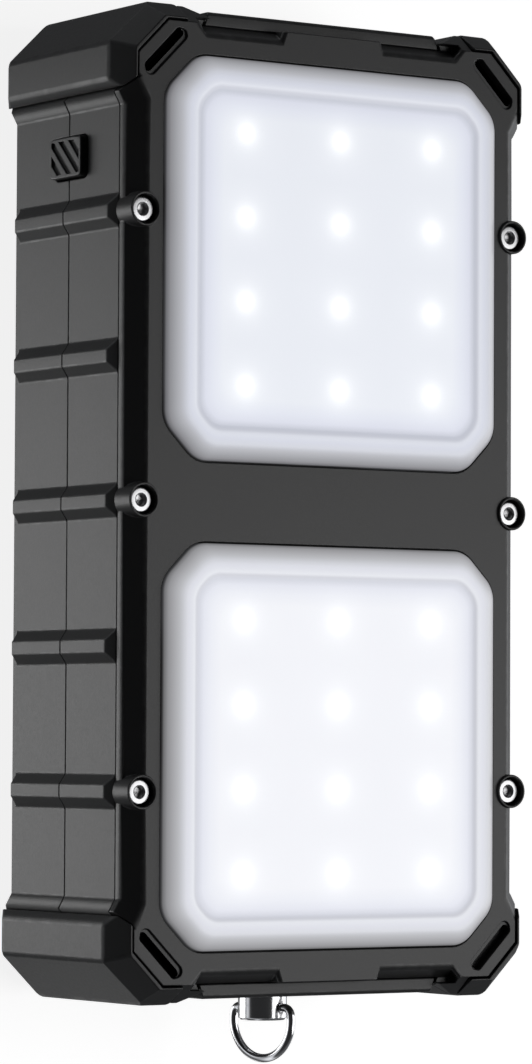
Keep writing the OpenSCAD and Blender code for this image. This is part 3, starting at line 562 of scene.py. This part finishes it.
def phosphor_chip(name, top):
    """White ceramic bodies whose top face is yellow phosphor."""
    place, wire = finish_of(name)
    lid = apart(place)[2].step(top - 0.00012, top - 0.00005)
    grain = place.noise(0.00015, 3.0)
    yellow = grain.step(0.3, 0.7).mix((0.80, 0.52, 0.06), (0.90, 0.66, 0.12))
    return wire(grain, 0.00001, Base_Color=lid.mix((0.82, 0.82, 0.80), yellow),
                Roughness=0.3 + grain * 0.15)


def ribbon(name):
    """Amber film with copper tracks along its length, which stand up a little."""
    place, wire = finish_of(name)
    across = apart(place)[0] / 0.0016
    track = across.maths("PINGPONG", across, 0.5).step(0.16, 0.2)
    crease = place.noise(0.002, 3.0)
    colour = track.mix((0.30, 0.11, 0.02), (0.62, 0.27, 0.10))
    return wire(track * 0.7 + crease * 0.3, 0.00003, Base_Color=colour, Metallic=track * 0.5,
                Roughness=0.32 + crease * 0.1)


def paired_wire(name):
    """Silicone insulation, red on one side and black on the other, with a dusty sheen."""
    place, wire = finish_of(name)
    side = apart(place)[0].step(-0.00001, 0.00001)
    dust = place.noise(0.0005, 3.0)
    colour = side.mix((0.02, 0.02, 0.021), (0.42, 0.015, 0.012))
    colour = (dust.step(0.55, 0.75) * 0.15).mix(colour, (0.3, 0.28, 0.27))
    return wire(dust, 0.00002, Base_Color=colour, Roughness=0.45 + (dust - 0.5) * 0.2)


white_board = coated_board("white_coated_board", (0.72, 0.73, 0.72), (0.80, 0.80, 0.78), 0.0022)
lead_look = paired_wire("lead_insulation")
dress(closed_foam("seal_foam"), "lens_gaskets")
dress(white_moulding("tray_plastic"), "reflector_1", "reflector_2")
dress(white_board, "led_board_1", "led_board_2")
dress(phosphor_chip("lamp_chips", chip_box[1][1].z), "led_chips_1", "led_chips_2")
dress(ribbon("ribbon_film"), "lamp_flex")
dress(lead_look, "lamp_leads")


# --- Case screws and inserts ---------------------------------------------------------------
# Six stainless socket head screws in counterbored bosses. They run through the front half
# into grooved brass inserts, which are pressed into the columns of the back half.

HEAD, SOCKET, SHANK = 0.0041, 0.00178, 0.002
THREADS, THREAD_PITCH, THREAD_DEPTH = 24, 0.0004, 0.00012
HEAD_HEIGHT, HEAD_EDGE, SOCKET_DEPTH = 0.0019, 0.0003, 0.0011
screw_low, screw_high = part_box("case_screws")


def cap_screw(middle_x, middle_y, around=48):
    """A radius for each height, carried round the axis, and how far it is a hexagon.

    In the socket the radius is half the width across flats over the cosine of the angle from
    the nearest flat's middle."""
    tip, top, r, s = screw_low.z, screw_high.z, HEAD / 2, SHANK / 2
    neck, bottom = top - HEAD_HEIGHT, top - SOCKET_DEPTH
    thread = [(s - THREAD_DEPTH * (j % 2), tip + THREAD_PITCH * (1 + j / 2), 0)
              for j in range(2 * THREADS)]
    crown = [(r - HEAD_EDGE * (1 - np.cos(a)), top - HEAD_EDGE * (1 - np.sin(a)), 0)
             for a in np.linspace(0, np.pi / 2, 6)]
    profile = np.array([(s * 0.6, tip, 0), *thread, (s, neck, 0), (r - 0.0001, neck, 0),
                        (r, neck + 0.0001, 0), *crown, (SOCKET * 0.64, top, 0),
                        (SOCKET * 0.60, top - 0.00006, 0.6), (SOCKET / 2, top - 0.00016, 1),
                        (SOCKET / 2, bottom, 1), (SOCKET * 0.45, bottom, 1),
                        (0.0001, bottom - 0.00025, 0)])
    angle = np.arange(around) * 2 * np.pi / around
    flat = 1 / np.cos(angle % (np.pi / 3) - np.pi / 6)
    radius = profile[:, :1] * (1 + profile[:, 2:] * (flat[None] - 1))
    height = np.broadcast_to(profile[:, 1:2], radius.shape)
    return np.stack([middle_x + radius * np.cos(angle),
                     middle_y + radius * np.sin(angle), height], -1)


def satin_metal(name, base, rough, drawn=(1, 1, 1)):
    """Satin metal with faint clouds and a few bright scuffs. Its hairlines run square to the axis
    along which drawn squeezes them."""
    place, wire = finish_of(name)
    pulled = place.out("VectorMath", 0, {"operation": "MULTIPLY"}, i0=place, i1=drawn)
    hair = pulled.noise(0.00014, 2.0)
    cloud = place.noise(0.0026, 3.0)
    dull = tuple(c * 0.82 for c in base)
    colour = (cloud * 0.5 + hair * 0.5).step(0.3, 0.7).mix(dull, base)
    gloss = rough + (hair - 0.5) * 0.16 + (cloud - 0.5) * 0.10 - cloud.step(0.6, 0.66) * 0.05
    return wire(hair, 0.000003, Base_Color=colour, Metallic=1.0, Roughness=gloss.clamp())


steel_look = satin_metal("screw_steel", (0.60, 0.60, 0.61), 0.32)
screw_x, screw_y = screw_high.x - HEAD / 2, screw_high.y - HEAD / 2
screws = skin("screws", [cap_screw(x, y) for x in (-screw_x, screw_x)
                         for y in (-screw_y, 0, screw_y)], sharp=40)
stand_for(screws, steel_look, "case_screws", "case")
brass_look = satin_metal("turned_brass", (0.66, 0.44, 0.14), 0.28, (1, 1, 6))
dress(brass_look, "threaded_inserts")


# --- Power button --------------------------------------------------------------------------
# A plastic cap with slanted finger grooves, moulded like the shells but a shade darker. A
# flange behind the side wall keeps it in, and its stem presses a switch on the main board.

cap_low, cap_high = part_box("power_button")
CAP_DEPTH, CAP_EDGE, CAP_FLANGE = 0.0017, 0.0004, 0.001


def cap_rim(middle):
    """Picks the outer edges of the cap's face and its four corners, but not the grooves."""
    rim = CAP_FLANGE + CAP_EDGE
    return middle.x < cap_low.x + CAP_DEPTH and (
        min(middle.z - cap_low.z, cap_high.z - middle.z) < rim
        or min(middle.y - cap_low.y, cap_high.y - middle.y) < rim)


button_look = moulded_plastic("button_plastic", (0.010, 0.010, 0.0103), 0.42, 0.0003)
button = softened("power_button", "button", [(0.0003, 3, cap_rim), (0.0001, 2, None)])
stand_for(button, button_look, "power_button", "power_button")


def black_moulding(name):
    """Hard black plastic with a spark eroded grain and slight flow marks."""
    place, wire = finish_of(name)
    fine, flow = place.noise(0.0003, 3.0), place.noise(0.004, 3.0)
    tone = (flow * 0.5 + fine * 0.5).step(0.3, 0.7)
    colour = tone.mix((0.010, 0.010, 0.011), (0.024, 0.024, 0.025))
    return wire(fine, 0.00002, Base_Color=colour, Roughness=0.42 + (fine - 0.5) * 0.25)


black_look = black_moulding("black_housing")
dress(black_look, "button_switch")


# --- Main board and sockets ----------------------------------------------------------------
# A green board on four screws carries the charging chips, the switch and three sockets with
# plated steel shells and plastic tongues. A clear guide takes five lights to the back face.

def socket_shell(name, node):
    """Plated steel outside, black tongue inside: the mask is 1 within the shell's walls."""
    place, wire = finish_of(name)
    low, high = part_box(node)
    middle, half = (low + high) / 2, (high - low) / 2
    x, _, z = apart(place)

    def within(off, limit):
        """1 nearer to the middle than the wall, fading over the wall's inner edge."""
        return 1.0 - off.maths("ABSOLUTE", off).step(limit - 0.00062, limit - 0.00055)

    inside = within(x - middle.x, half.x) * within(z - middle.z, half.z)
    hair = place.noise(0.0002, 3.0)
    return wire(hair, 0.000004, Base_Color=inside.mix((0.62, 0.62, 0.63), (0.014, 0.014, 0.015)),
                Metallic=1.0 - inside, Roughness=0.28 + (hair - 0.5) * 0.16 + inside * 0.15)


def clear_moulding(name, tint, rough):
    """Clear plastic, slightly tinted, with faint moulding waves and handling smears."""
    place, wire = finish_of(name)
    smear, wave = place.noise(0.006, 3.0), place.noise(0.0016)
    return wire(wave, 0.000008, Base_Color=smear.mix(tint, (0.98, 0.99, 1.0)), IOR=1.49,
                Roughness=rough + smear.step(0.45, 0.75) * 0.06, Transmission_Weight=1.0)


green_board = coated_board("green_solder_mask", (0.010, 0.10, 0.035), (0.022, 0.17, 0.06), 0.0016)
dress(green_board, "main_board")
dress(steel_look, "board_screws")
dress(black_look, "board_chips")
for node in ("usb_a_socket", "usb_c_socket_1", "usb_c_socket_2"):
    dress(socket_shell(f"{node}_plating", node), node)
dress(clear_moulding("guide_plastic", (0.90, 0.95, 0.98), 0.08), "light_guide")
dress(phosphor_chip("indicator_chips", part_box("indicator_leds")[1].z), "indicator_leds")


# --- Battery -------------------------------------------------------------------------------
# Two pouch cells in crinkled aluminium laminate, stacked with foam pads above, between and
# below them. Rolled nickel tabs join their sealed edges to the board.

def pouch_foil(name):
    """Aluminium laminate, drawn tight in the middle, with creases, painted shade along them, and
    an embossed fine weave.
    """
    place, wire = finish_of(name)
    crease, press = place.noise(0.007, 4.0, 0.6), place.noise(0.0009, 2.0)
    ridge = (crease - 0.5).maths("ABSOLUTE", crease - 0.5)
    # The foil is darker along each crease line: painted shade in the creases.
    colour = ridge.step(0.0, 0.12).mix((0.50, 0.51, 0.53), (0.66, 0.67, 0.70))
    return wire(ridge * 1.5 + press * 0.3, 0.00015, Base_Color=colour, Metallic=0.85,
                Roughness=0.34 + press * 0.12)


dress(pouch_foil("pouch_foil"), "battery_cell_1", "battery_cell_2")
dress(closed_foam("pad_foam"), "cell_pads")
dress(satin_metal("rolled_nickel", (0.62, 0.60, 0.55), 0.26, (1, 5, 1)), "battery_tabs")


# --- Solar panel ---------------------------------------------------------------------------
# Ten strips of silicon in the back face, laminated under a clear sheet that lies flush with
# it. Each strip has printed silver fingers across it and one bar along its middle.

panel_low, panel_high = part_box("solar_cells")
STRIPS, STRIP_GAP, FINGER_PITCH = 10, 0.0007, 0.0016
strip_pitch = (panel_high.y - panel_low.y + STRIP_GAP) / STRIPS


def printed_silicon(name):
    """Blue-black silicon in slightly uneven crystals, with silver lines printed over it."""
    place, wire = finish_of(name)
    x, y, _ = apart(place)
    finger = x / FINGER_PITCH
    finger = 1.0 - finger.maths("PINGPONG", finger, 0.5).step(0.03, 0.06)
    bar = y / strip_pitch
    bar = bar.maths("PINGPONG", bar, 0.5).step(0.455, 0.465)
    silver = finger.maths("MAXIMUM", finger, bar)
    facets = place.out("TexVoronoi", 1, None, Vector=place, Scale=240.0)
    crystal = place.out("RGBToBW", 0, None, Color=facets)
    paste = place.noise(0.0002, 2.0)
    dark = (crystal * 0.7 + paste * 0.3).mix((0.006, 0.009, 0.024), (0.012, 0.019, 0.050))
    return wire(silver + paste * 0.1, 0.00002, Base_Color=silver.mix(dark, (0.55, 0.56, 0.58)),
                Metallic=silver * 0.8, Roughness=0.3 + paste * 0.1 + crystal * 0.05)


dress(printed_silicon("printed_silicon"), "solar_cells")
dress(clear_moulding("laminate_sheet", (0.93, 0.96, 0.98), 0.10), "solar_cover")
dress(white_moulding("laminate_backing"), "solar_backing")
dress(lead_look, "solar_leads")


# --- Port cover ----------------------------------------------------------------------------
# A soft touch rubber flap over the three sockets, on a steel pin in its lower edge. It fits
# its recess with a small gap all round and opens through a right angle.

FOOT_TOP = 0.0125


def above_its_pin(middle):
    """Leaves the foot of the flap, which turns in a groove just wider than itself, unrounded."""
    return middle.z > FOOT_TOP


cover_look = moulded_plastic("cover_rubber", (0.012, 0.012, 0.0124), 0.6, 0.0002)
cover = softened("port_cover", "cover", [(0.0003, 3, above_its_pin)])
stand_for(cover, cover_look, "port_cover", "port_cover")
dress(steel_look, "port_cover_pin")


# --- Swivel post and ring ------------------------------------------------------------------
# A chrome post turns in a brass sleeve in the lower end, held by a spring clip on its inner
# neck. A round wire ring hangs in its cross hole and swings to both sides.

WIRE, RING, RING_TURN = 0.0014, 0.0063, np.radians(15)
DROP, BEND, REACH = 0.0022, 0.0014, 0.0020
eye = Vector((0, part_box("swivel_post")[0].y + 0.0021, 0.0195))


def chromed(name, polish):
    """Bright chrome with hairline scratches, a trace of water spots and a slightly uneven skin."""
    place, wire = finish_of(name)
    drawn = place.out("VectorMath", 0, {"operation": "MULTIPLY"}, i0=place, i1=(1, 0.15, 1))
    scratch = drawn.noise(0.00008)
    spot, skin_wave = place.noise(0.0011, 3.0), place.noise(0.0024)
    colour = spot.step(0.62, 0.72).mix((0.80, 0.80, 0.815), (0.70, 0.70, 0.71))
    gloss = polish + scratch.step(0.6, 0.75) * 0.08 + spot.step(0.6, 0.72) * 0.05
    return wire(skin_wave * 0.5 + scratch * 0.05, 0.00001, Base_Color=colour, Metallic=1.0,
                Roughness=gloss)


def ring_line(legs=6, elbow=14, arc=60):
    """The wire's middle line, as points and directions in the ring's own plane: a straight leg in
    the cross hole, an elbow, a large arc to the lowest point, and the same mirrored."""
    middle = np.sqrt((RING - BEND) ** 2 - (DROP - BEND) ** 2)
    lean = np.arctan2(DROP - BEND, middle)
    leg = np.zeros((legs, 3))
    leg[:, 0] = np.linspace(REACH, middle, legs, endpoint=False)
    a = np.linspace(-np.pi / 2, -lean, elbow, endpoint=False)
    bend = np.stack([middle + BEND * np.cos(a), BEND + BEND * np.sin(a), a + np.pi / 2], -1)
    b = np.linspace(-lean, np.pi / 2, arc)
    loop = np.stack([RING * np.cos(b), DROP + RING * np.sin(b), b + np.pi / 2], -1)
    half = np.concatenate([leg, bend, loop])
    return np.concatenate([half, half[-2::-1] * (-1, 1, -1) + (0, 0, 2 * np.pi)])


def ring(around=28):
    """A circle carried along the middle line, square to it, then turned about the post's axis."""
    line = ring_line()
    a = np.arange(around) * 2 * np.pi / around
    r = WIRE / 2
    u = line[:, :1] - r * np.cos(a) * np.sin(line[:, 2:])
    v = line[:, 1:2] + r * np.cos(a) * np.cos(line[:, 2:])
    w = np.broadcast_to(r * np.sin(a), u.shape)
    cos, sin = np.cos(RING_TURN), np.sin(RING_TURN)
    x, y, z = -w, -v, u
    rings = np.stack([eye.x + x * cos + z * sin, eye.y + y, eye.z - x * sin + z * cos], -1)
    return skin("ring", [rings], sharp=50)


post = softened("swivel_post", "post", [(0.00015, 2, None)])
stand_for(post, chromed("turned_chrome", 0.16), "swivel_post", "swivel_post")
stand_for(ring(), chromed("bright_chrome", 0.06), "hang_ring", "hang_ring")
dress(brass_look, "post_bushing")
dress(steel_look, "post_clip")
